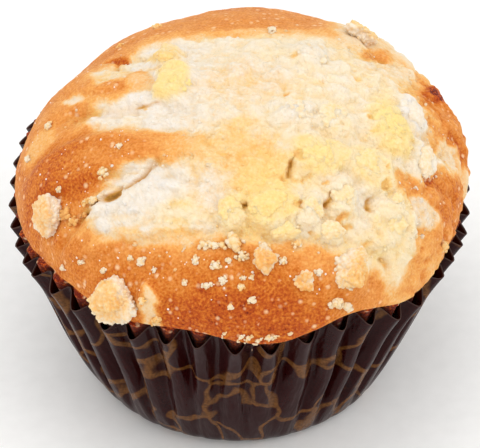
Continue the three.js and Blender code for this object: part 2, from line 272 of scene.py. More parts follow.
paperCase = {
    "flutes": 51,
    "fluteTurn": -0.9,
    "widePitch": 8.5,  # degrees from fold to fold at the front
    "wideFolds": 7,  # on each side of the first fold
    "unevenness": 0.45,
    "height": 35.4,
    "tipRise": 2.0,
    "floorPress": 0.9,  # the wall turns in this far to meet the floor
    "floorRound": 0.08,  # share of the height over which it does
    "sideBulge": -0.5,
    "foldDepthAtFloor": 0.4,
    "foldDepthAtRim": 2.1,
    "channelAtFloor": 2.6,  # above 1 the inner folds are narrower than the outer ones
    "channelAtRim": 1.0,
    "thickness": 0.2,
    "samplesPerFlute": 18,
    "rows": 44,
    # share of the wall's height, and the outer folds' radius there
    "profile": [(0.034, 27.2), (0.17, 29.4), (0.45, 32.9), (0.75, 36.3), (1, 40.0)],
    # waves of the rim: number round the case, height, azimuth of a crest
    "rimWaves": [(1, 0.58, 157), (3, 1.36, 1), (5, 0.61, 29), (9, 0.77, -18), (10, 0.63, -7)],
    # where the rim is pulled out of round: azimuth, radius added, half width in degrees
    "rimBulges": [(-116, 0.7, 14)],
}
profileCurve = np.polyfit(*np.array(paperCase["profile"]).T, 3)


def rimHeight(azimuth):
    # mean height plus a cosine for each wave
    waves = [h * np.cos(count * np.radians(azimuth - crest)) for count, h, crest in paperCase["rimWaves"]]
    return paperCase["height"] + sum(waves)


def bulgeAt(azimuth, bulges):
    # the sum of a bell for each bulge
    away = [(azimuth - middle + 540) % 360 - 180 for middle, _, _ in bulges]
    return sum(added * np.exp(-((a / half) ** 2)) for a, (_, added, half) in zip(away, bulges))


def foldAzimuth(fold):
    # wide steps on both sides of the front and narrow ones behind, shifted by two slow waves
    flutes, wideFolds, widePitch = paperCase["flutes"], paperCase["wideFolds"], paperCase["widePitch"]
    k = np.where(fold < flutes / 2, fold, fold - flutes)
    wide = np.clip(k, -wideFolds, wideFolds)
    narrowPitch = (180 - wideFolds * widePitch) / (flutes / 2 - wideFolds)
    uneven = paperCase["unevenness"] * (np.cos(1.08 * k - 2.59) + np.cos(2.88 * k - 1.05))
    return paperCase["fluteTurn"] + wide * widePitch + (k - wide) * narrowPitch + uneven


def wallRadius(share):
    # a smooth curve through the profile, pressed in where the wall turns to the floor
    press = paperCase["floorPress"] * np.clip(1 - share / paperCase["floorRound"], 0, 1) ** 2
    return np.polyval(profileCurve, share) - press


def foldDepth(share):
    return blend(paperCase["foldDepthAtFloor"], paperCase["foldDepthAtRim"], share**0.8)


def wallLean(share):
    return paperCase["sideBulge"] * np.sin(np.pi * np.sqrt(share))


def foldShape(phase, share):
    # 0 on the outer fold and 1 on the inner one: a power, falling with the height, of the squared sine of
    # the way from fold to fold
    channel = blend(paperCase["channelAtFloor"], paperCase["channelAtRim"], share**1.5)
    return (np.sin(np.pi * phase) ** 2) ** channel


def foldPhase(azimuth):
    # the way from one outer fold to the next at an azimuth, from 0 to 1
    folds = foldAzimuth(np.arange(paperCase["flutes"]))
    along = np.concatenate([(folds - folds[0]) % 360, [360]])
    return np.interp((azimuth - folds[0]) % 360, along, np.arange(len(along))) % 1


def paperWall(shares, inwards):
    # rows of points up the wall: the radius swings between outer and inner fold, the pleats fade towards the
    # floor, and slow noise sways them
    per, flutes = paperCase["samplesPerFlute"], paperCase["flutes"]
    column = np.arange(flutes * per)
    fold, phase = column // per, (column % per) / per
    here, following = foldAzimuth(fold), foldAzimuth((fold + 1) % flutes)
    share, phase = np.meshgrid(shares, phase, indexing="ij")
    azimuth = here + ((following - here) % 360) * phase
    inner = foldShape(phase, share)
    place = aroundAxis(azimuth, 30.0, share * 30).reshape(-1, 3)
    uneven = layeredNoise(place, 7.0, 2).reshape(share.shape)
    sway = layeredNoise(place, 13.0, 2, 5.0).reshape(share.shape)
    fade = blend(1, smoothStep(share, 0.06, 0.36), 0.85)
    depth = foldDepth(share) * fade * (1 + 0.9 * uneven * (1 - share**4))
    pulled = bulgeAt(azimuth, paperCase["rimBulges"]) * share**2
    radius = wallRadius(share) + pulled - depth * inner - inwards + 0.35 * sway * np.sin(np.pi * share)
    azimuth = azimuth + 2.0 * sway * np.sin(np.pi * share)
    height = share * (rimHeight(azimuth) + paperCase["tipRise"] * inner)
    points = aroundAxis(azimuth, radius, height)
    points[..., 0] += wallLean(share)
    return points.reshape(-1, 3)


def paperCaseMaterial():
    # greaseproof paper, printed dark brown with gold marbling and calendered: a smooth waxy gloss along the
    # pleats, and dull gold lines; sheetPlace is in mm, so a pattern's scale is one over its size
    material, shader, place, add = newMaterial("printedBakingPaper")
    sheet = add("Attribute", settings={"attribute_name": "sheetPlace"}).outputs["Vector"]
    names = ("insideFace", "cutEdge")
    inside, cut = [add("Attribute", settings={"attribute_name": name}).outputs["Fac"] for name in names]
    # the marbling is the borders of large cells, pushed about by noise and uneven in width
    warp = add("TexNoise", {"Vector": sheet, "Scale": 1 / 10, "Detail": 1.0})
    offset = add("VectorMath", {0: warp.outputs["Color"], "Scale": 15.0}, {"operation": "SCALE"})
    warped = add("VectorMath", {0: sheet, 1: offset})
    marbling = {"Vector": warped, "Scale": 1 / 16, "Randomness": 0.95}
    cells = add("TexVoronoi", marbling, {"feature": "DISTANCE_TO_EDGE"})
    width = add("TexNoise", {"Vector": sheet, "Scale": 1 / 7, "Detail": 1.0})
    edge = add("Math", {0: width, 1: -0.05, 2: cells}, multiplyAdd)
    vein = add("ValToRGB", {"Fac": edge}, stops=[(0.0, "#ffffff"), (0.03, "#000000")])
    fibre = add("TexNoise", {"Vector": place, "Scale": perMetre(0.5), "Detail": 3.0})
    ground = add("ValToRGB", {"Fac": fibre}, stops=[(0.3, "#210304"), (0.7, "#2c0606")])
    gold = add("ValToRGB", {"Fac": fibre}, stops=[(0.35, "#4f2f14"), (0.65, "#6f4620")])
    printed = add("Mix", {0: vein, 6: ground, 7: gold}, ofColours)
    colour = add("Mix", {0: inside, 6: printed, 7: tone("#4a1a0c")}, ofColours)
    edged = add("Mix", {0: cut, 6: colour, 7: tone("#54423d")}, ofColours)
    # crinkles drawn out along the pleats
    drawn = add("Mapping", {"Vector": sheet, "Scale": (0.3, 0.3, 0.07)})
    crinkle = add("TexNoise", {"Vector": drawn, "Scale": 1.0, "Detail": 3.0})
    bump = add("Bump", {"Strength": 0.6, "Distance": 1.0 * toMetres, "Height": crinkle})
    feed(shader, {"Base Color": edged, "Roughness": 0.25, "Normal": bump, "Specular IOR Level": 0.05})
    return material


def makePaperCase():
    # the outer skin from floor to rim, the inner skin back down, and a floor of two discs
    rows = paperCase["rows"]
    columns = paperCase["flutes"] * paperCase["samplesPerFlute"]
    shares = np.append(0.99 * np.linspace(0, 1, rows - 1) ** 1.15, 1)
    outside = paperWall(shares, 0.0)
    inside = paperWall(shares[::-1], paperCase["thickness"])
    inside[:, 2] = np.maximum(inside[:, 2], paperCase["thickness"])
    skin = np.concatenate([outside, inside])
    walls = gridFaces(2 * rows, columns, closed=True)
    centres = len(skin) + np.arange(2)
    skin = np.concatenate([skin, [[0, 0, 0], [0, 0, paperCase["thickness"]]]])
    ring = np.arange(columns)
    following = (ring + 1) % columns
    lastRing = (2 * rows - 1) * columns
    below = np.stack([np.full(columns, centres[0]), following, ring], axis=1)
    above = np.stack([np.full(columns, centres[1]), lastRing + ring, lastRing + following], axis=1)
    # the flat sheet wrapped without a seam: the way along the pleats near the rim, bent round a drum, and
    # the height
    edge = outside.reshape(rows, columns, 3)[-6]
    steps = np.linalg.norm(np.roll(edge, -1, axis=0)[:, :2] - edge[:, :2], axis=1)
    length = steps.sum()
    turn = 2 * np.pi * np.concatenate([[0], np.cumsum(steps)[:-1]]) / length
    drum = length / (2 * np.pi)
    sheetPlace = np.zeros((len(skin), 3))
    both = np.tile(turn, 2 * rows)
    sheetPlace[:-2, 0], sheetPlace[:-2, 1] = drum * np.cos(both), drum * np.sin(both)
    sheetPlace[:-2, 2] = skin[:-2, 2]
    insideFace = np.concatenate([np.zeros(rows * columns), np.ones(rows * columns), [0, 1]])
    cutEdge = np.zeros(len(skin))
    cutEdge[(rows - 1) * columns : (rows + 1) * columns] = 1
    values = {"sheetPlace": sheetPlace, "insideFace": insideFace, "cutEdge": cutEdge}
    piece = makePiece("paperCase", skin, [walls, below, above], paperCaseMaterial(), values)
    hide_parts("paper_case")


makePaperCase()

# the cake

cake = {
    "gap": 0.35,  # between the cake and the paper
    "paperDepth": 0.5,
    "topHeight": 58.8,
    "topShift": 0.8,
    "topTilt": 0.028,
    "skirtRadius": 39.0,
    "skirtRise": 1.4,
    "roundness": 2.26,
    "fullness": 1.94,
    "skirtReach": 0.9,
    "coreHeight": 24,
    "cells": 296,
    "sideRings": (0.93, 0.8, 0.59, 0.17, 0.0),  # inside the paper, as shares of its height
    "sideSlack": 0.2,
    "floorSlack": 0.4,
    # where the skirt departs from round: azimuth, radius added, half width in degrees
    "skirtBulges": [
        (111, -0.6, 11), (75, -1.0, 14), (162, 0.8, 12), (-168, 0.9, 14),
        (-122, -2.2, 20), (-88, 0.6, 14), (-57, -0.6, 12), (8, 1.6, 18),
    ],
    # raised ground: x, y, half width, half depth, turn, height
    "swells": [
        (9, -7, 25, 24, 0, 1.3), (-15, -1, 15, 5, -8, 0.6), (-14, -23.5, 13, 5, -14, 1.7),
        (-25, -10.5, 13, 5, -8, 1.3), (-23, 7, 9, 4, -25, 1), (30, -20.8, 4.5, 5, 20, 0.9),
        (22, 2, 4, 3, 0, 0.9), (36, -7.5, 3, 3, 0, 0.9), (-14.3, -35.3, 1.8, 3, 42, 1.3),
        (-25, -24, 7, 2.5, -30, 0.7),
    ],
    # tears and pits: from x, y to x, y, half width, depth, browning
    "tears": [
        (-30, 1, -17.5, -2.5, 1.8, 1, 0.1), (-17.5, -2.5, -8, -6, 1.6, 0.7, 0),
        (-17.2, -1.9, -13.4, -2.5, 0.5, 0.6, 0.4), (-28.5, -21.5, -25, -20.5, 1.2, 1.2, 0.6),
        (-23.6, -19.8, -22.6, -19.7, 0.5, 0.8, 0.7), (-21.1, -19.8, -19.9, -19.7, 1.05, 2.4, 0.95),
        (-18.4, -19.4, -13.4, -15.4, 0.7, 0.9, 0.36), (-22.7, 15, -19.6, 12.9, 0.7, 1, 0.85),
        (-21.2, 14, -21.6, 11.8, 0.5, 0.7, 0.7), (32.1, 8.4, 34.8, 6.3, 1.8, 1.6, 0.88),
        (8.3, -17.3, 8.3, -20.7, 0.45, 0.9, 0.5), (14.5, -22.6, 13.9, -24.6, 0.6, 1.2, 0.62),
        (15.9, -21.6, 16.2, -21.2, 0.5, 0.9, 0.55), (21, -20.8, 21, -22.8, 0.45, 0.6, 0.6),
        (23, -29.2, 23.5, -29.3, 0.6, 0.9, 0.7), (0.4, -25.6, 0.9, -25.7, 0.6, 0.9, 0.75),
        (22.8, 18.3, 25.2, 14.4, 1.2, 1.2, 0.6),
    ],
    "crumbleHeight": 0.7,
    "crumbleSize": 4.5,
    "wanderSize": 3.2,  # of the wandering borders between crust and crumb
    "raggedness": 1.7,  # how far they wander
    # sizes and heights of what the torn crumb is made of
    "clodSize": 4.6,
    "clodHeight": 0.85,
    "bitSize": 1.9,
    "bitHeight": 0.35,
    "fibreSize": 1.5,
    "fibreHeight": 0.75,
    "pitSize": 2.3,
    "pitDepth": 0.6,
    "crumbBrowning": 0.09,
    "crustBrowning": 0.66,
    "frontBrowningAndShade": 0.12,  # added towards the front: browning, deepened with painted shade where the crust faces away from the light
    "borderPaling": 0.27,  # taken from the crust beside the burst
    "borderWidth": 3.0,
    "pocketFill": 0.85,  # share of the folds' depth that the cake fills under its skirt
    # colour of the top: x, y, half width, half depth, turn, browning, butter, softness of the patch's edge
    "patches": [
        # crust, from the front round by the left
        (-1.5, -38.9, 16.1, 2.5, -3, 0.84, 0, 0.5), (-26.3, -25, 5.4, 1.5, -42, 0.7, 0, 0.5),
        (-28.1, -11.4, 8.5, 6.1, -33, 0.79, 0, 0.5), (-29.5, 3, 4.9, 6.8, -17, 0.6, 0, 0.5),
        # tongues of crust from the left
        (-10, -13.4, 5.3, 2.8, -10, 0.47, 0, 0.4), (-20, -11.9, 6.5, 2.9, -20, 0.66, 0, 0.5),
        (-20.4, 5.1, 4.1, 3.4, -9, 0.64, 0, 0.4), (-16.7, 3.6, 2.4, 2, -21, 0.38, 0, 0.4),
        # pale streaks and cracks beside them
        (-33.8, -2, 2.3, 3.1, -22, 0.45, 0, 0.4), (-28.1, 4.4, 1.9, 0.9, -41, 0.25, 0, 0.6),
        (-28.4, 2.2, 1.4, 1, -38, 0.66, 0, 0.4), (-21.6, 14.4, 1.9, 0.9, -40, 0.8, 0, 0.4),
        (-21.2, 7.2, 3, 2.3, -20, 0.2, 0.1, 0.4), (-27.3, -19.8, 3.5, 1.6, -52, 0.6, 0, 0.4),
        # back
        (2.3, 22.9, 14.5, 4.5, 0, 0.66, 0, 0.5), (24.3, 19.8, 8.1, 13.7, 8, 0.27, 0.1, 0.4),
        (23.9, 15.3, 1.6, 4.1, -33, 0.6, 0, 0.4), (3.6, 17.4, 12, 1.2, 2, 0.45, 0, 0.5),
        # right
        (34.1, 8.8, 1.6, 4.9, -19, 0.95, 0, 0.4), (36.8, 1.9, 5.5, 8.8, 58, 0.62, 0, 0.5),
        (28.9, -1, 3.9, 3.8, 33, 0.02, 0, 0.3), (33.5, -1.9, 3.2, 3.6, 21, 0.5, 0, 0.4),
        (31, -8.6, 2.8, 3.4, 33, 0.12, 0.1, 0.3), (35.4, -3.5, 2.3, 1.9, 45, 0.25, 0, 0.3),
        (38.3, -2.9, 2.8, 2.3, 57, 0.34, 0, 0.3), (27.3, -17, 3.1, 2.7, 1, 0.52, 0, 0.4),
        (36.3, -11.3, 4.1, 3.8, 49, 0.68, 0, 0.4), (32.5, -12.3, 2.2, 2.1, 35, 0.66, 0, 0.4),
        (30.2, -18.9, 2.5, 2, 32, 0.25, 0, 0.25), (30.3, -24.1, 4.9, 2.1, 48, 0.46, 0, 0.4),
        (25.8, -29.5, 7, 1, 41, 0.5, 0, 0.4), (22.1, -32.8, 5.7, 0.8, 31, 0.66, 0, 0.4),
        # tan and gold in the middle
        (-0.3, -17.2, 7.8, 8.1, -2, 0.34, 0.25, 0.5), (4.2, -21.7, 4.2, 5.1, 1, 0.36, 0.6, 0.5),
        (-4.8, -22.5, 3.4, 3.8, -8, 0.16, 0, 0.5), (1.6, 1.1, 8.6, 6.2, -2, 0.2, 0.05, 0.5),
        (2.5, -27.3, 6.5, 3.5, 0, 0.28, 0.5, 0.4), (14.5, -28.6, 2, 1.4, 10, 0.36, 0.1, 0.4),
        (12.2, -33, 2.6, 2, 8, 0.55, 0, 0.4),
        # butter yellow
        (-11.2, 3.1, 2.5, 5.4, -13, 0.15, 0.85, 0.3), (-13.2, 11.4, 2.3, 3.4, 54, 0.3, 0.45, 0.3),
        (24.7, -6.1, 3.4, 5.8, 11, 0.15, 0.8, 0.35), (14.3, -8.8, 7.4, 6.3, 9, 0.12, 0.3, 0.5),
        (13.2, -16.5, 3.8, 2.4, 8, 0.25, 0.6, 0.5), (20.8, -15.3, 4.4, 2.7, 17, 0.14, 0.6, 0.5),
        (20.7, -28.4, 5.7, 2.8, 18, 0.16, 0.4, 0.5), (-9.5, -25.7, 3.7, 2.2, -10, 0.12, 0.35, 0.5),
        # tan rims of the front plate, pale crumb behind it, a pale ridge before it, and a tan crack
        (-14.5, -27.8, 8.9, 0.8, -14, 0.32, 0.1, 0.5), (-17.5, -17.6, 5, 2.2, -15, 0.1, 0, 0.4),
        (-14.5, -35.3, 0.8, 2, 42, 0.3, 0.1, 0.4), (-15.6, -2.2, 1.1, 0.4, -23, 0.36, 0, 0.4),
    ],
    # where the crust has burst and pale crumb shows: the outline's corners, x and y
    "burst": [
        (-30, 0.5), (-26.5, 1.5), (-25.5, 3.5), (-22.5, 1.5), (-15, 1.5), (-15, 7.5), (-17, 8),
        (-18.5, 5.5), (-23.5, 6), (-24, 11), (-22, 12), (-19, 12.5), (-18, 15.5), (-15, 16.5), (-7, 17.5),
        (4, 16), (8.5, 16), (16, 14.5), (22, 15.5), (27, 15.5), (30, 11), (32, 7.5), (30.5, 3), (33.5, 3),
        (33, 0.5), (30.5, -3), (28, -6), (31, -5), (36.5, -1.5), (35.5, -5), (31, -13), (28, -15),
        (23.5, -17), (24.5, -19), (32.5, -17), (30.5, -20.5), (26.5, -27), (21, -31), (15, -31.5),
        (11, -30.5), (5.5, -31.5), (-3, -29.5), (-9.5, -30), (-16, -28), (-25.5, -23), (-26, -20.5),
        (-23.5, -19.5), (-24, -18), (-21.5, -15), (-17, -14.5), (-10, -15.5), (-5.5, -15), (-5.5, -12.5),
        (-10.5, -10.5), (-18, -6.5), (-25.5, -3.5),
    ],
}

streusel = {
    # lumps: x, y, width, depth, thickness, turn, browning, butter, and the share of the thickness that the
    # crumb round it rises
    "lumps": [
        (-19.9, -32.5, 8, 6.5, 5.2, 10, 0.36, 0.2, 0), (-31.3, -16.7, 6.2, 7, 4.6, 20, 0.36, 0.1, 0),
        (17.6, -32.6, 5.6, 6.2, 4.4, -10, 0.4, 0.2, 0.3), (-10.5, 1.6, 5.8, 8.8, 3.3, 8, 0.16, 0.8, 0.66),
        (-12.6, 10.4, 4.2, 5.8, 2.6, 0, 0.28, 0.4, 0.6), (5.3, -25.9, 8.1, 6.2, 3.5, 5, 0.26, 0.6, 0.6),
        (7.3, -29.3, 4.9, 3.4, 2.9, 0, 0.17, 0.5, 0.5), (-1.2, -26.4, 4.7, 5.8, 2.9, 10, 0.2, 0.5, 0.58),
        (13.3, -16.2, 9.1, 6.4, 3.5, -8, 0.2, 0.6, 0.62), (16.4, -22.9, 4.9, 6, 3, 0, 0.13, 0.3, 0.58),
        (11.5, -26.1, 3.6, 5.2, 2.9, 0, 0.13, 0.3, 0.58),
        (24.5, -23.6, 6, 10.6, 3.5, -20, 0.14, 0.4, 0.6),
        (24.1, -7.4, 6.7, 9.8, 3.5, 6, 0.17, 0.75, 0.62), (21, -16.2, 8, 7, 3.3, 0, 0.15, 0.5, 0.62),
        (28.3, -1.9, 5.3, 6.6, 3, 10, 0.03, 0, 0.55), (30.2, -10.1, 4.6, 6, 3, 0, 0.1, 0.1, 0.55),
        (9.7, -7.9, 6, 6.4, 2.7, 0, 0.1, 0.1, 0.64), (15.3, -8.2, 5.3, 6.8, 3, 12, 0.12, 0.25, 0.64),
        (14.4, -28.6, 4.7, 3.5, 2.9, 0, 0.14, 0.3, 0.55), (21.1, 20.2, 6.2, 4, 3.4, 30, 0.34, 0.35, 0),
        (4.2, -33.1, 3.8, 4.1, 3.4, 0, 0.44, 0.1, 0.1), (10.4, -35.6, 3.2, 3.5, 3, 0, 0.42, 0.1, 0.1),
        (12.2, 8, 5.3, 6, 2.2, 0, 0.12, 0.1, 0.64),
    ],
    "sink": 0.14,
    "boxiness": 0.82,
    "roughness": 0.3,
    "grainSize": 0.8,
    "bedding": 0.08,  # share of its thickness that a lump in the risen crumb lies lower
    "cellsPerMm": 10,
}


def tipHeight(azimuth):
    return rimHeight(azimuth) + paperCase["tipRise"]


def cakeRadius(share):
    return wallRadius(share) - foldDepth(share) - cake["paperDepth"] - cake["gap"]


def skirtRadiusAt(azimuth):
    return cake["skirtRadius"] + bulgeAt(azimuth, cake["skirtBulges"])


def outOf(x, y):
    # share of the way out from the dome's middle to its skirt
    middle = cake["topShift"]
    return np.minimum(1, np.hypot(x - middle, y) / skirtRadiusAt(azimuthOf(x - middle, y)))


def domeHeight(x, y):
    # from the skirt to the top as a rounded power of the distance out from the middle
    skirt = tipHeight(azimuthOf(x - cake["topShift"], y)) + cake["skirtRise"]
    rise = (1 - outOf(x, y) ** cake["roundness"]) ** (1 / cake["fullness"])
    return skirt + (cake["topHeight"] - skirt + cake["topTilt"] * x) * rise


def outwards(points):
    return unit(points - np.array([cake["topShift"], 0, cake["coreHeight"]]))


def ellipseShare(x, y, ellipse):
    # 0 in the middle of a turned ellipse and 1 on its edge
    middleX, middleY, halfWidth, halfDepth, turn = ellipse[:5]
    c, s = math.cos(math.radians(turn)), math.sin(math.radians(turn))
    along = ((x - middleX) * c + (y - middleY) * s) / halfWidth
    across = ((y - middleY) * c - (x - middleX) * s) / halfDepth
    return np.hypot(along, across)


def within(x, y, ellipse, low=0.65, high=1.1):
    # from 0 at the edge of a turned ellipse to 1 well inside
    return 1 - smoothStep(ellipseShare(x, y, ellipse), low, high)


def lumpEllipse(lump):
    x, y, width, depth, _, turn = lump[:6]
    return x, y, width / 2, depth / 2, turn


def awayFromLine(x, y, line):
    # distance to the piece of straight line from x, y to x, y
    fromX, fromY, toX, toY = line[:4]
    dx, dy = toX - fromX, toY - fromY
    along = np.clip(((x - fromX) * dx + (y - fromY) * dy) / (dx * dx + dy * dy), 0, 1)
    return np.hypot(x - fromX - along * dx, y - fromY - along * dy)


def outOfBurst(x, y):
    # distance from the outline of the burst crust, positive on the crust and negative on the pale crumb
    corners = np.array(cake["burst"], float)
    following = np.roll(corners, -1, axis=0)
    away = np.full(len(x), 99.0)
    inside = np.zeros(len(x), bool)
    for (ax, ay), (bx, by) in zip(corners, following):
        away = np.minimum(away, awayFromLine(x, y, (ax, ay, bx, by)))
        crosses = (ay > y) != (by > y)
        inside ^= crosses & (x < (bx - ax) * (y - ay) / (by - ay + 1e-9) + ax)
    return np.where(inside, -away, away)


def tornDepth(x, y, spread, column):
    # the strongest tear's value from that column, full on its line and gone at spread half widths
    near = [1 - smoothStep(awayFromLine(x, y, tear), 0, tear[4] * spread) for tear in cake["tears"]]
    return np.max([share * tear[column] for share, tear in zip(near, cake["tears"])], axis=0)


def groundRelief(x, y):
    # the highest swell and an uneven crumble on the pale top
    raised = [within(x, y, swell) * swell[5] for swell in cake["swells"]]
    lattice = np.stack([x / cake["crumbleSize"], y / cake["crumbleSize"], np.full(len(x), 0.5)], axis=1)
    crumble = cake["crumbleHeight"] * raised[0] / cake["swells"][0][5] * noise(lattice)
    return np.max(raised, axis=0) + crumble


def domeRelief(x, y):
    return groundRelief(x, y) - tornDepth(x, y, 1.6, 5)


def streuselMounds(x, y):
    # the crumb swells up round each lump that lies in the burst, so that its foot is soft
    raised = [within(x, y, lumpEllipse(lump), 0.6, 1.5) * lump[4] * lump[8] for lump in streusel["lumps"]]
    return np.max(raised, axis=0)


def paint(x, y, lift, bake, butter):
    # each patch laid over what is there, full well inside its ellipse and gone outside; then the ground of
    # each lump that the crumb rises round, in the lump's own colour
    for patch in cake["patches"]:
        cover = within(x, y + lift, patch, 1 - patch[7], 1 + patch[7])
        bake, butter = blend(bake, patch[5], cover), blend(butter, patch[6], cover)
    for lump in streusel["lumps"]:
        cover = within(x, y, lumpEllipse(lump), 0.7, 1.3) * smoothStep(lump[8], 0.3, 0.5)
        bake, butter = blend(bake, lump[6], cover), blend(butter, lump[7], cover)
    return bake, butter


def skinAt(points, slant):
    # what covers the smooth dome: relief outwards in mm, browning, butter, how hollow and how torn it is
    x, y = points[:, 0], points[:, 1]
    wander = np.stack([layeredNoise(points, cake["wanderSize"], 4, k) for k in (3.1, 9.7, 15.2)], axis=1)
    ragged = points + cake["raggedness"] * wander
    rx, ry = ragged[:, 0], ragged[:, 1]
    # colours and tears are placed as seen from in front and above, so raised ground takes those behind it
    mounds = streuselMounds(rx, ry)
    lift = np.clip(1.1 + 0.04 * y, 0.1, 1.5) * 0.8 * mounds
    tearX, tearY = x + 0.9 * wander[:, 0], y + 0.9 * wander[:, 1] + lift
    crustEdge = outOfBurst(rx, ry)
    openTop = smoothStep(slant, 0, 0.35)
    torn = (1 - smoothStep(crustEdge, -1.0, 1.0)) * openTop
    # torn crumb: clods of two sizes on the right, drawn-out fibres on the left, fine grain and pits over all
    lumpy = smoothStep(x, -12, 4)
    clods = pebbles(points + 1.1 * wander, cake["clodSize"], 4.0)
    bits = pebbles(points + 0.6 * wander, cake["bitSize"], 9.0)
    fine = layeredNoise(points, 1.5, 2, 21.0)
    drawn = np.stack([(0.95 * x - 0.3 * y) / 5, 0.95 * y + 0.3 * x, points[:, 2] / 3], axis=1)
    fibres = layeredNoise(drawn, cake["fibreSize"], 3, 30.0)
    pits = smoothStep(layeredNoise(points, cake["pitSize"], 2, 27.0), 0.42, 0.7) * torn * lumpy
    crumb = cake["clodHeight"] * (clods - 0.5) * blend(0.7, 1, lumpy) + cake["bitHeight"] * (bits - 0.5)
    crumb += 0.35 * fine + cake["fibreHeight"] * fibres * (1 - lumpy) - cake["pitDepth"] * pits
    # the crust is blistered, and crumbly at the far right
    blistered = 0.12 * layeredNoise(points, 1.3, 2, 33.0) + 0.25 * layeredNoise(points, 6.0, 2, 41.0)
    blistered += 0.12 * layeredNoise(points, 2.5, 1, 44.0)
    crumbly = 0.7 * smoothStep(x + 0.1 * y + 2 * wander[:, 0], 22, 28)
    pitted = crumbly * (1 - torn) * smoothStep(layeredNoise(points, 2.6, 2, 55.0), 0.05, 0.4)
    blistered = blend(blistered, crumb, crumbly) - 0.5 * pitted
    ripped = tornDepth(tearX, tearY, 1.6, 5) * (1 + 0.8 * fine)
    relief = (groundRelief(x, y) - ripped + mounds) * openTop
    relief += blend(blistered, crumb, torn) - 0.3 * torn
    # browning: pale in the burst, deep on the crust, deeper towards the front as browning plus painted
    # shade, lighter beside the burst
    front = np.cos(np.radians(azimuthOf(x, y))) * 0.5 + 0.5
    brown = cake["crustBrowning"] + cake["frontBrowningAndShade"] * front + 0.1 * layeredNoise(points, 4.0, 3, 70.0)
    brown -= cake["borderPaling"] * np.exp(-np.clip(crustEdge, 0, 30) / cake["borderWidth"])
    pale = cake["crumbBrowning"] + 0.15 * layeredNoise(points, 5.0, 3, 50.0)
    bake = blend(pale, brown, smoothStep(crustEdge, -1.6, 1.4))
    butter = torn * (smoothStep(layeredNoise(points, 9.0, 2, 60.0), 0.0, 0.7) * 0.2 + 0.22 * lumpy)
    bake, butter = paint(rx, ry, lift, bake, butter)
    # painted shade: the low ground of the crumb is coloured darker and yellower than its tops, as warm shade
    # in its crevices
    low = 0.16 * np.clip(0.4 - clods, 0, 1) * blend(0.4, 1, lumpy) + 0.1 * np.clip(0.3 - bits, 0, 1)
    low += 0.05 * np.clip(-fine, 0, 1) + 0.25 * np.clip(-fibres, 0, 1) * (1 - lumpy)
    bake = bake + low * torn
    # painted shade in the pits, and between the clods and in the pits of the crumbly crust: more browning
    # where the surface lies low
    bake = blend(bake, np.maximum(bake, 0.55), pits)
    bake = bake + crumbly * (1 - torn) * 0.22 * (0.6 - clods) + 0.15 * pitted
    butter = np.clip(butter + 2 * low * torn, 0, 1) * openTop
    hollow = np.clip(tornDepth(tearX, tearY, 1.2, 6) * (1 + 0.6 * fine), 0, 1)
    bake = np.maximum(bake, hollow * (1 - torn) * openTop)
    return relief, bake, butter, hollow * torn, torn


def domeSurface(u, v):
    # the middle of a unit disc is the dome's top and its edge the neck inside the paper: a slanting cosine
    # down to the skirt, then a curl under it
    reach = np.hypot(u, v)
    azimuth = azimuthOf(u, v)
    widest = skirtRadiusAt(azimuth)
    curl = np.clip((reach - cake["skirtReach"]) / (1 - cake["skirtReach"]), 0, 1)
    slant = np.clip(1 - reach / cake["skirtReach"], 0, 1) * np.pi / 2
    top = aroundAxis(azimuth, widest * np.cos(slant) ** (2 / cake["roundness"]), 0.0)
    top[:, 0] += cake["topShift"]
    top[:, 2] = domeHeight(top[:, 0], top[:, 1])
    height = tipHeight(azimuth) + cake["skirtRise"] - (cake["skirtRise"] - cake["gap"]) * curl**0.8
    under = aroundAxis(azimuth, blend(widest, cakeRadius(1.0), curl**1.5), height)
    under[:, 0] += cake["topShift"] * (1 - curl)
    points = np.where(curl[:, None] > 0, under, top)
    return points, slant, curl


def squareToDisc(s, t):
    # a point's ring is the larger of its two distances from the middle, and its turn the share of the two
    acrossFirst = np.abs(s) >= np.abs(t)
    out = np.where(acrossFirst, s, t)
    ratio = np.where(acrossFirst, t, s) / np.where(out == 0, 1, out)
    turn = np.where(acrossFirst, np.pi / 4 * ratio, np.pi / 2 - np.pi / 4 * ratio)
    return out * np.cos(turn), out * np.sin(turn)


def bakedRamp(add, amount, butter):
    # from white crumb through cream and gold to deep brown crust, tinted towards butter yellow
    # the last, darkest stop is for the cake's side under the skirt: its deep browning, darkened further as
    # painted shade for the pockets between the folds
    stops = [
        (0.0, "#ede6de"), (0.16, "#ecdfce"), (0.32, "#edcb9c"), (0.47, "#edad5f"), (0.6, "#e39447"),
        (0.74, "#d27824"), (0.84, "#bd5816"), (0.93, "#a8430f"), (1.0, "#6b1a04"),
    ]
    baked = add("ValToRGB", {"Fac": amount}, stops=stops)
    return add("Mix", {0: butter, 6: baked, 7: tone("#f8d88a")}, ofColours)


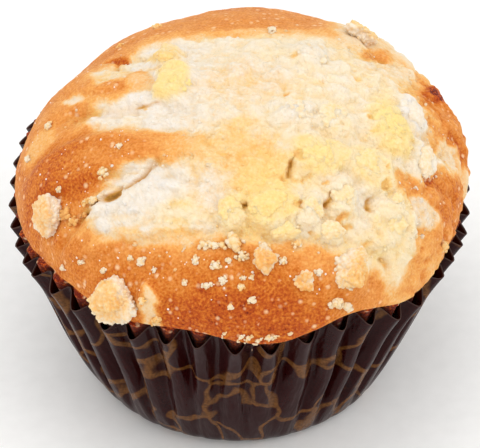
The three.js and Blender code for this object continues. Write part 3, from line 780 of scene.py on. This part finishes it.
def cakeMaterial():
    # oven-baked sponge: a matt sandy crust, browned unevenly and dusted with sugar, torn open over pale
    # porous crumb that lets a little light in
    material, shader, place, add = newMaterial("bakedSponge")
    names = ("bake", "butter", "hollow", "torn")
    bake, butter, hollow, torn = [
        add("Attribute", settings={"attribute_name": name}).outputs["Fac"] for name in names
    ]
    sand = add("TexNoise", {"Vector": place, "Scale": perMetre(0.45), "Detail": 5.0})
    blotch = add("TexNoise", {"Vector": place, "Scale": perMetre(2.8), "Detail": 3.0})
    grains = add("TexVoronoi", {"Vector": place, "Scale": perMetre(0.95)})
    # fine speckle grows with the browning, over coarse blotches; the torn crumb gets painted shade in the
    # gaps between its grains
    reach = add("Math", {0: bake, 1: 0.7, 2: 0.05}, multiplyAdd)
    speckle = add("Math", {0: sand, 1: 0.5}, {"operation": "SUBTRACT"})
    speckled = add("Math", {0: speckle, 1: reach, 2: bake}, multiplyAdd)
    blotches = add("Math", {0: blotch, 1: 0.24, 2: -0.12}, multiplyAdd)
    # painted shade: browner towards the edge of each grain's Voronoi cell, only on the torn crumb
    grainGapShade = add("Math", {0: grains, 1: 0.1, 2: -0.05}, multiplyAdd)
    grainShadeAndBlotches = add("Math", {0: grainGapShade, 1: torn, 2: blotches}, multiplyAdd)
    amount = add("Math", {0: speckled, 1: grainShadeAndBlotches})
    ramped = bakedRamp(add, amount, butter)
    # the floor of a hollow in the crumb is golden brown
    hollowShare = add("Math", {0: hollow, 1: 2.2}, cappedMultiply)
    golden = add("ValToRGB", {"Fac": hollow}, stops=[(0.4, "#d39a45"), (0.85, "#7c4a0c")])
    deepened = add("Mix", {0: hollowShare, 6: ramped, 7: golden}, ofColours)
    # sugar melted into the crust as pale specks: cells of a Voronoi pattern, each with its own size
    spots = add("TexVoronoi", {"Vector": place, "Scale": perMetre(1.1)})
    spotSize = add("SeparateColor", {"Color": spots.outputs["Color"]}).outputs["Red"]
    rim = add("Math", {0: spotSize, 1: 0.45}, {"operation": "SUBTRACT"})
    melted = add("Math", {0: rim, 1: spots}, {"operation": "SUBTRACT", "use_clamp": True})
    browned = {"Value": bake, "From Min": 0.5, "From Max": 0.68, "To Max": 2.6}
    onCrust = add("MapRange", browned, {"interpolation_type": "SMOOTHSTEP"})
    sugary = add("Math", {0: melted, 1: onCrust}, cappedMultiply)
    glazed = add("Mix", {0: sugary, 6: deepened, 7: tone("#efc497")}, ofColours)
    # the crust is sandy, and the crumb stands up in grains
    grainy = add("Math", {0: grains, 1: torn}, {"operation": "MULTIPLY"})
    height = add("Math", {0: grainy, 1: -1.0, 2: sand}, multiplyAdd)
    bump = add("Bump", {"Strength": 0.8, "Distance": 0.5 * toMetres, "Height": height})
    softness = add("Math", {0: torn, 1: 0.1, 2: 0.45}, multiplyAdd)
    feed(shader, {"Base Color": glazed, "Roughness": 0.6, "Normal": bump, "Specular IOR Level": 0.15})
    feed(shader, {"Sheen Weight": 0.05, "Sheen Roughness": 0.4, "Subsurface Weight": softness})
    feed(shader, {"Subsurface Radius": (1.0, 0.93, 0.82), "Subsurface Scale": 1.2 * toMetres})
    return material


def pocketAt(azimuth):
    # share of the folds' depth that the cake fills there: most behind an outer fold, none at an inner one
    return (1 - foldShape(foldPhase(azimuth), 1.0)) * cake["pocketFill"]


def makeCake():
    # the dome over a square grid folded to a disc, then the side inside the paper and a floor
    cells = cake["cells"]
    points, slant, curl = domeSurface(*squareToDisc(*squareGrid(cells)))
    relief, bake, butter, hollow, torn = skinAt(points, slant)
    points = points + outwards(points) * relief[:, None]
    # under the skirt the cake takes the deepest browning: its browned side, made darker still as painted
    # shade in the pockets under the overhang
    bake = blend(bake, 1.0, smoothStep(curl, 0.15, 0.6))
    # the skirt fills the pockets between the folds
    azimuth = azimuthOf(points[:, 0], points[:, 1])
    points += aroundAxis(azimuth, pocketAt(azimuth) * foldDepth(1.0) * smoothStep(curl, 0.3, 1.0), 0.0)
    # the grid's four edges one after another are the neck; the side goes down from it ring by ring
    k = np.arange(cells)
    ends = (np.full(cells, cells), k), (cells - k, np.full(cells, cells)), (0 * k, cells - k), (k, 0 * k)
    neck = np.concatenate([i * (cells + 1) + j for i, j in ends])
    neckAzimuth = azimuthOf(points[neck, 0], points[neck, 1])
    shares = cake["sideRings"]
    floorRise = cake["paperDepth"] + cake["gap"]
    rings = []
    for share in shares:
        radius = cakeRadius(share) - (cake["sideSlack"] if share > 0 else cake["floorSlack"])
        radius = radius + pocketAt(neckAzimuth) * foldDepth(share) * smoothStep(share, 0.1, 0.9)
        ring = aroundAxis(neckAzimuth, radius, np.maximum(floorRise, share * rimHeight(neckAzimuth)))
        ring[:, 0] += wallLean(share)
        rings.append(ring)
    grid = gridFaces(cells + 1, cells + 1)[:, ::-1]
    count = len(points)
    bands = np.concatenate([neck, count + np.arange(len(shares) * len(neck))]).reshape(len(shares) + 1, -1)
    nextBands = np.roll(bands, -1, axis=1)
    wallFaces = np.stack([bands[1:], nextBands[1:], nextBands[:-1], bands[:-1]], axis=-1).reshape(-1, 4)
    lowest = bands[-1]
    centre = np.full(len(lowest), count + len(shares) * len(neck))
    base = np.stack([centre, np.roll(lowest, -1), lowest], axis=1)
    allPoints = np.concatenate([points, *rings, [[0, 0, floorRise]]])
    below = np.zeros(len(allPoints) - count)
    covers = {"bake": np.clip(bake, 0, 1), "butter": butter, "hollow": hollow, "torn": torn}
    values = {key: np.append(cover, below + (key == "bake")) for key, cover in covers.items()}
    piece = makePiece("cake", allPoints, [grid, wallFaces, base], cakeMaterial(), values)
    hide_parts("muffin")


makeCake()

# the streusel


def ballGrid(cells):
    # unit directions over a square sheet whose corners fold down to one point, as an octahedron opened out;
    # its edges meet and are merged
    s, t = squareGrid(cells)
    height = 1 - np.abs(s) - np.abs(t)
    folded = height < 0
    px = np.where(folded, (1 - np.abs(t)) * np.where(s < 0, -1.0, 1.0), s)
    py = np.where(folded, (1 - np.abs(s)) * np.where(t < 0, -1.0, 1.0), t)
    loose = unit(np.stack([px, py, height], axis=1))
    _, first, merged = np.unique(np.round(loose, 6), axis=0, return_index=True, return_inverse=True)
    faces = merged.ravel()[gridFaces(cells + 1, cells + 1)[:, ::-1]]
    return loose[first], faces


def seatOn(flat, raised):
    # points of the dome raised outwards, and the two directions along the surface there
    up = outwards(flat)
    across = unit(np.array([1.0, 0, 0]) - up * up[:, :1])
    return flat + up * raised[:, None], across, np.cross(up, across), up


def streuselMaterial(title, softness):
    # streusel of butter, flour and sugar: pale yellow grains pressed together, matt, toasted on the proud
    # sides; softness is the share of light that sinks in, none for single grains
    material, shader, place, add = newMaterial(title)
    names = ("bake", "butter")
    bake, butter = [add("Attribute", settings={"attribute_name": name}).outputs["Fac"] for name in names]
    grain = add("TexNoise", {"Vector": place, "Scale": perMetre(0.6), "Detail": 4.0})
    uneven = add("Math", {0: grain, 1: 0.5, 2: -0.25}, multiplyAdd)
    colour = bakedRamp(add, add("Math", {0: uneven, 1: bake}), butter)
    bump = add("Bump", {"Strength": 1.0, "Distance": 0.35 * toMetres, "Height": grain})
    feed(shader, {"Base Color": colour, "Roughness": 0.7, "Normal": bump, "Specular IOR Level": 0.25})
    feed(shader, {"Subsurface Weight": softness, "Subsurface Radius": (1.0, 0.93, 0.82)})
    feed(shader, {"Subsurface Scale": 0.9 * toMetres})
    return material


butterStreusel = streuselMaterial("butterStreusel", 0.35)
crumbGrain = streuselMaterial("crumbGrain", 0.0)


def makeStreusel():
    # each lump is a ball with its sides squared by a power, roughened by a coarse noise, then by clods and
    # grains
    for number, lump in enumerate(streusel["lumps"]):
        x, y, width, depth, thickness, turn, browning, butter, rise = lump
        cells = 2 * int(np.clip(streusel["cellsPerMm"] * max(width, depth), 40, 96) / 2)
        directions, faces = ballGrid(cells)
        shift = np.array([7.3, -3.1, 0]) * number
        bedded = smoothStep(rise, 0.3, 0.5)
        rough = 1 + streusel["roughness"] * blend(1, 0.6, bedded) * noise(directions * 1.3 + shift)
        squared = np.sign(directions) * np.abs(directions) ** blend(streusel["boxiness"], 1.0, bedded)
        half = np.array([width, depth, thickness]) / 2
        ball = squared * rough[:, None] * half
        clods = 0.5 * layeredNoise(ball, 2.4, 3, number) + 0.45 * (pebbles(ball, 1.7, number) - 0.6)
        clods *= blend(1.0, 0.6, bedded)
        grains = clods + blend(0.4, 0.25, bedded) * (pebbles(ball, streusel["grainSize"], number) - 0.5)
        ball = ball + directions * grains[:, None]
        c, s = math.cos(math.radians(turn)), math.sin(math.radians(turn))
        ball[:, :2] = ball[:, :2] @ np.array([[c, s], [-s, c]])
        spot = np.array([[x, y]])
        flat = np.column_stack([spot, domeHeight(*spot.T)])
        raised = (streusel["sink"] - streusel["bedding"] * bedded) * thickness
        base, across, along, up = seatOn(flat, domeRelief(*spot.T) + raised)
        points = base + ball[:, :1] * across + ball[:, 1:2] * along + ball[:, 2:] * up
        # toasted on the proud side, whiter at the crumbling edge, and browner where it dips between its
        # clods as painted shade
        proud = ball[:, 2] / half[2]
        heart = smoothStep(proud + 0.5 * layeredNoise(ball, 2.2, 2, 40.0 + number), 0.1, 0.9)
        edge = blend(0.6, 0.95, bedded)
        bake = blend(edge * browning, browning + 0.04, heart) - 0.1 * clods + 0.05 * bedded
        yellow = butter * blend(2 * edge - 0.95, 1.0, heart) + 0.12 * bedded
        name = f"streuselLump{number + 1:02d}"
        piece = makePiece(name, points, [faces], butterStreusel, {"bake": bake, "butter": yellow})
        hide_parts(f"streusel_lump_{number + 1:02d}")


makeStreusel()

# loose crumbs, grains and sugar

scatter = {
    # crumbs: x, y, across, up the slope, browning
    "crumbs": [
        (-0.9, -30.9, 3.9, 3, 0.15), (-22, -14.9, 1.9, 3, 0.2), (-28.7, -18.2, 2.3, 2.4, 0.5),
        (15.5, -36.4, 2.2, 2.6, 0.1), (34.2, -19.1, 2.4, 2.2, 0.3), (17.2, -35.9, 2.4, 2, 0.1),
        (-27.5, -20.1, 2.4, 1.7, 0.45), (5.7, 17.9, 1.4, 2.7, 0), (-24.6, -18.8, 2.4, 1.4, 0.3),
        (0.4, -32.9, 2.1, 1.6, 0.1), (-5.8, -30.9, 2, 1.7, 0.15), (-3.8, -33.9, 1.8, 1.6, 0.1),
        (-15.7, -30.7, 1.6, 1.8, 0.05), (-32.5, 1.4, 1.8, 1.5, 0.1), (-13.3, -36.4, 2, 1.7, 0.3),
        (-4, -31.2, 1.8, 1.5, 0.15), (-26.1, -20, 2.1, 1.2, 0.5), (9.2, -31.1, 1.6, 1.5, 0.2),
        (2, -37.9, 1.4, 1.6, 0.05), (-7, -32.8, 1.3, 1.8, 0.05), (-2.6, -35.7, 1.3, 1.8, 0),
        (-5.2, -36, 1.6, 1.3, 0), (-29.1, -24, 1.7, 1.2, 0), (-35.8, -2.8, 1.5, 1.3, 0),
        (-25.8, -26.4, 1.8, 1, 0), (12.6, -34.3, 1.3, 1.3, 0), (0.3, -36.6, 1.3, 1.3, 0.25),
        (-29.2, -14, 1.4, 1.1, 0.05), (-22, -29.3, 1.4, 1.1, 0.05), (-23.6, -19, 2, 1.7, 0.2),
        (-19.1, -11.2, 1.1, 1.3, 0.1), (-8.7, -35.1, 1, 1.3, 0.05), (-13.7, -32.3, 0.9, 1.3, 0),
        (-17.6, -29.6, 1.1, 1, 0.1), (-1.7, -33.4, 1, 1, 0.1), (2, -35.5, 1, 1, 0.1),
        (17.3, -34.6, 1.2, 0.7, 0.05), (0.6, -35.6, 1, 0.8, 0.1), (1.5, -40.3, 1.6, 1.1, 0.1),
        (3, -40.4, 1.8, 1, 0.1), (4.7, -40.3, 1.2, 1.3, 0.15), (5.8, -40.2, 1.4, 0.9, 0.1),
        (-15.2, -34.6, 1.4, 1.5, 0.3), (-14.5, 24.4, 2, 1.5, 0.3), (-20.8, 20.4, 1.3, 1.1, 0.35),
        (0.2, -40.2, 1.3, 1, 0.1), (-2.4, -39.8, 0.8, 0.8, 0.15), (8.2, -39.8, 0.8, 0.8, 0.1),
        (4, -31.6, 1.6, 1.8, 0.1), (6.9, -33.4, 1.3, 1.4, 0.1), (-1.4, -38.4, 1.1, 1.2, 0.1),
    ],
    "crumbGrains": 20,  # in each crumb
    "crumbCells": 6,
    "grains": 900,  # strewn over the burst and its border
    "grainSize": (0.3, 0.85),
    "grainCells": 4,
    "grainReach": 37,  # from the axis
    "jitter": 0.4,  # how uneven crumbs and grains are
    "borderWidth": 1.5,  # how far grains stray onto the crust
    "sugar": 80,
    "sugarSize": (0.2, 0.42),
    "sugarJitter": 0.35,
    "sugarAzimuth": (-15, 42),  # mean and spread
    "sugarRadius": (20, 39),
    "seed": 7,
}
draw = np.random.default_rng(scatter["seed"])


def coverAt(x, y):
    # the smooth dome over each x, y and what covers it there
    flat = np.stack([x, y, domeHeight(x, y)], axis=-1)
    slant = np.arccos(outOf(x, y) ** (cake["roundness"] / 2))
    return flat, skinAt(flat, slant)


def strewBalls(cells, roughness, flat, raised, halves):
    # a ball at each place, raised off the dome, its corners moved in or out by a random share, stretched to
    # its own half sizes and turned by a random angle; returns all points and faces, and the corners of one
    directions, faces = ballGrid(cells)
    shapes = directions * (1 + roughness * (draw.random((len(flat), len(directions), 1)) - 0.5))
    spins = draw.uniform(0, 2 * np.pi, len(flat))
    c, s = np.cos(spins)[:, None], np.sin(spins)[:, None]
    local = shapes * halves[:, None]
    turnedX = local[..., 0] * c - local[..., 1] * s
    turnedY = local[..., 0] * s + local[..., 1] * c
    base, across, along, up = seatOn(flat, raised)
    points = base[:, None] + turnedX[..., None] * across[:, None] + turnedY[..., None] * along[:, None]
    points = points + local[..., 2:] * up[:, None]
    offsets = len(directions) * np.arange(len(base))[:, None, None]
    return points.reshape(-1, 3), (faces[None] + offsets).reshape(-1, faces.shape[1]), len(directions)


def makeCrumbs():
    # each crumb is a cluster of grains: the first fills two thirds of it and the others sit round and on it
    spots = np.repeat(np.array(scatter["crumbs"]), scatter["crumbGrains"], axis=0)
    first = np.arange(len(spots)) % scatter["crumbGrains"] == 0
    turn = draw.uniform(0, 2 * np.pi, len(spots))
    out = np.where(first, 0, draw.uniform(0.15, 0.5, len(spots)))
    size = np.minimum(spots[:, 2], spots[:, 3])
    offset = np.stack([spots[:, 2] * out * np.cos(turn), spots[:, 3] * out * np.sin(turn)], axis=1)
    # steps down the slope are foreshortened from above
    downhill = unit(spots[:, :2])
    steepness = 1 - np.sqrt(1 - outOf(spots[:, 0], spots[:, 1]) ** 4)
    offset -= downhill * (steepness * (offset * downhill).sum(axis=1))[:, None]
    flat, (relief, *_) = coverAt(spots[:, 0], spots[:, 1])
    flat[:, :2] += offset
    flat[:, 2] = domeHeight(flat[:, 0], flat[:, 1])
    shares = np.where(first, 0.34, draw.uniform(0.1, 0.2, len(spots)))
    halves = (shares * size)[:, None] * draw.uniform(0.85, 1.2, (len(spots), 3))
    heaped = 0.4 * (1 - (out / 0.55) ** 2) * draw.uniform(0.5, 1.0, len(spots))
    raised = relief + size * np.where(first, 0.12, heaped)
    points, faces, corners = strewBalls(scatter["crumbCells"], scatter["jitter"], flat, raised, halves)
    bake = np.repeat(np.clip(spots[:, 4] + draw.normal(0.1, 0.08, len(spots)), 0, 1), corners)
    values = {"bake": bake, "butter": np.full(len(bake), 0.3)}
    piece = makePiece("looseCrumbs", points, [faces], crumbGrain, values)


def makeGrains():
    # grains of crumb half sunk in the burst, gathered in drifts, and fewer of them on the crust beside it
    count = scatter["grains"] * 4
    radius, turn = scatter["grainReach"] * np.sqrt(draw.random(count)), draw.uniform(0, 2 * np.pi, count)
    x, y = radius * np.cos(turn), radius * np.sin(turn)
    drift = smoothStep(layeredNoise(np.stack([x, y, 0 * x], axis=1), 4.0, 2, 80.0), -0.45, 0.35)
    out = outOfBurst(x, y)
    edge = np.exp(-np.abs(out) / np.where(out > 0, 1, 2) / scatter["borderWidth"])
    southEast = smoothStep(x - 0.8 * y, -10, 14)
    kept = np.flatnonzero(draw.random(count) < edge * blend(0.2, 1, drift) * blend(0.2, 1, southEast))
    kept = kept[: scatter["grains"]]
    flat, (relief, skinBake, skinButter, hollow, torn) = coverAt(x[kept], y[kept])
    shown = hollow < 0.3
    seen = [each[shown] for each in (flat, relief, skinBake, skinButter, torn)]
    flat, relief, skinBake, skinButter, torn = seen
    size = blend(*scatter["grainSize"], draw.random(len(flat)) ** 2.5)
    halves = size[:, None] / 2 * draw.uniform(0.8, 1.25, (len(flat), 3))
    raised = relief - 0.12 * size
    points, faces, corners = strewBalls(scatter["grainCells"], scatter["jitter"], flat, raised, halves)
    ownBake = blend(0.12 + 0.3 * draw.random(len(flat)), skinBake, torn)
    bake = np.clip(ownBake + draw.normal(-0.01, 0.035, len(flat)), 0, 1)
    values = {"bake": np.repeat(bake, corners), "butter": np.repeat(skinButter, corners)}
    piece = makePiece("crumbGrains", points, [faces], crumbGrain, values)


def sugarMaterial():
    # coarse sugar half melted into the crust: whitish crystals, cloudy inside, with a wet glint
    material, shader, place, add = newMaterial("coarseSugar")
    cloud = add("TexNoise", {"Vector": place, "Scale": perMetre(0.6), "Detail": 1.0})
    colour = add("ValToRGB", {"Fac": cloud}, stops=[(0.3, "#f3dfca"), (0.7, "#faf6f1")])
    feed(shader, {"Base Color": colour, "Roughness": 0.35, "Specular IOR Level": 0.4})
    return material


def makeSugar():
    # crystals strewn by a seeded draw, most of them over the front and left of the crust
    count = scatter["sugar"] * 3
    azimuth = draw.normal(*scatter["sugarAzimuth"], count)
    radius = draw.uniform(*scatter["sugarRadius"], count)
    x, y = radius * np.sin(np.radians(azimuth)), -radius * np.cos(np.radians(azimuth))
    kept = np.flatnonzero(outOfBurst(x, y) > 1.0)[: scatter["sugar"]]
    flat, (relief, *_) = coverAt(x[kept], y[kept])
    size = blend(*scatter["sugarSize"], draw.random(len(flat)) ** 2)
    halves = size[:, None] / 2 * draw.uniform(0.75, 1.3, (len(flat), 3))
    raised = relief + 0.2 * size
    points, faces, _ = strewBalls(scatter["grainCells"], scatter["sugarJitter"], flat, raised, halves)
    piece = makePiece("sugarGrains", points, [faces], sugarMaterial(), smooth=False)


makeCrumbs()
makeGrains()
makeSugar()
